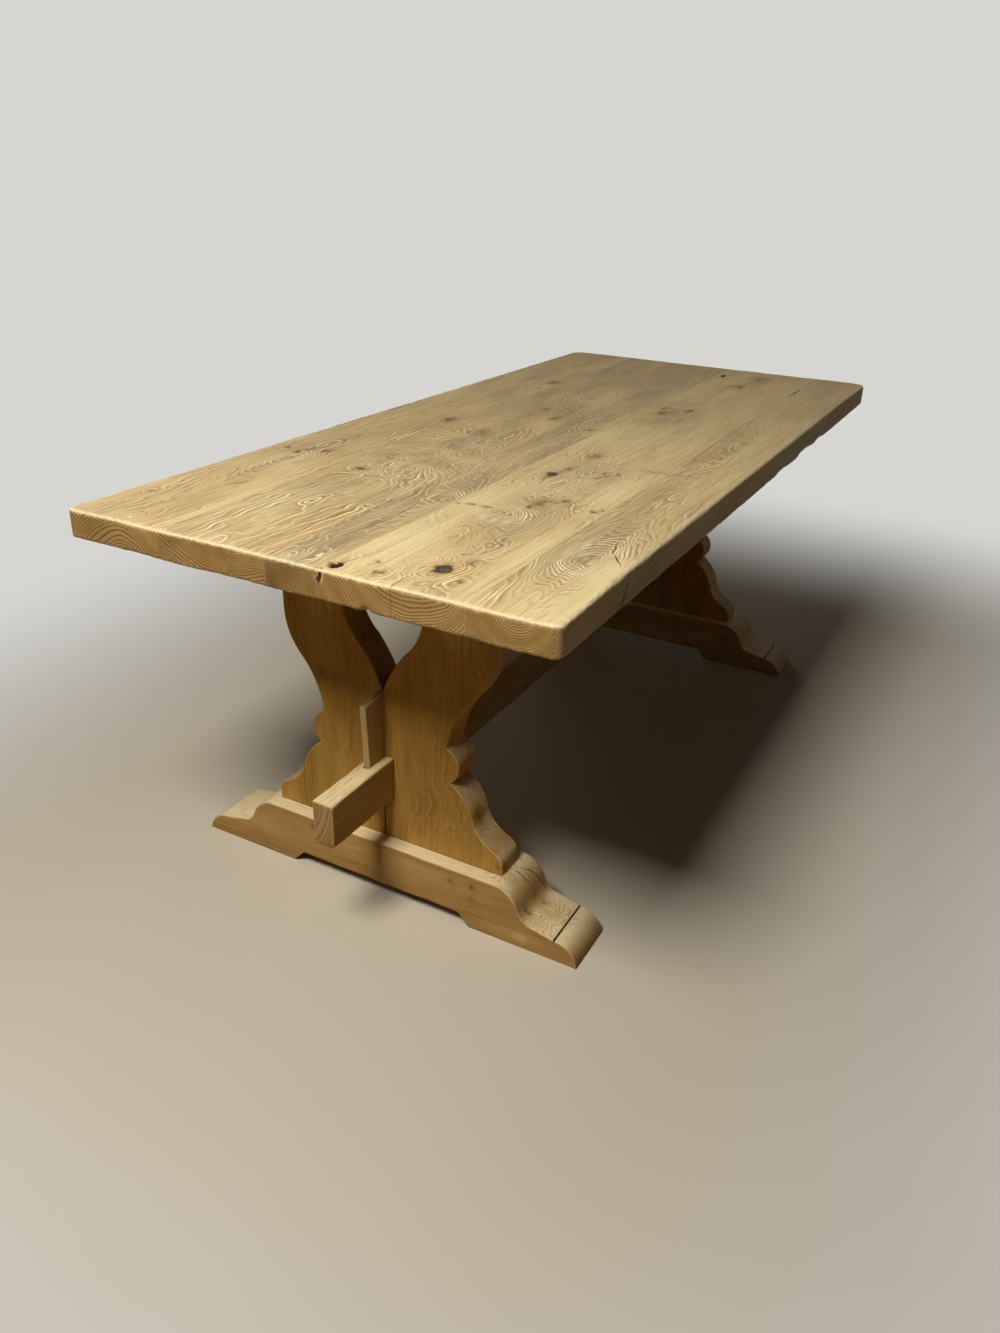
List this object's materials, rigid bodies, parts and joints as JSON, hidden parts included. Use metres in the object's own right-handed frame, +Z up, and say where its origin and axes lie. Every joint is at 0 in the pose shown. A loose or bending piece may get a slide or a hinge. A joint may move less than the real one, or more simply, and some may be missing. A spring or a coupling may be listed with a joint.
{
  "type": "trestle dining table",
  "caption": "Oak trestle dining table: a thick boarded top on lyre-shaped sawn trestles, tied by a low stretcher whose through tenons are locked by tusk wedges.",
  "frame": {"origin": "on the floor under the middle of the top", "axes": "+X along the top to the far end, +Y across the top to the left of someone standing at the near end, +Z up"},
  "size_m": [2, 0.9, 0.75],
  "materials": {
    "oak_top": "bare bleached oak, matte, worn arrises",
    "oak_base": "bare warm oak, matte",
    "oak_wedge": "bare pale oak, matte",
    "oak_joinery": "plain oak, inside the joints",
    "steel_screw": "dull steel"
  },
  "bodies": {
    "table": {"top_board_1": "oak_top", "top_board_2": "oak_top", "top_board_3": "oak_top", "top_board_4": "oak_top", "top_board_5": "oak_top", "top_tongue_1": "oak_joinery", "top_tongue_2": "oak_joinery", "top_tongue_3": "oak_joinery", "top_tongue_4": "oak_joinery", "near_bearer": "oak_base", "far_bearer": "oak_base", "near_bearer_screws": "steel_screw", "far_bearer_screws": "steel_screw", "near_left_upright": "oak_base", "near_right_upright": "oak_base", "far_left_upright": "oak_base", "far_right_upright": "oak_base", "near_seam_dowels": "oak_joinery", "far_seam_dowels": "oak_joinery", "near_foot": "oak_base", "far_foot": "oak_base", "stretcher": "oak_base"},
    "near_wedge": {"near_wedge": "oak_wedge"},
    "far_wedge": {"far_wedge": "oak_wedge"}
  },
  "joints": [
    {"name": "near_wedge_draw", "type": "slide", "parent": "table", "child": "near_wedge", "axis": [0, 0, 1], "range_m": [0, 0.12]},
    {"name": "far_wedge_draw", "type": "slide", "parent": "table", "child": "far_wedge", "axis": [0, 0, 1], "range_m": [0, 0.12]}
  ]
}
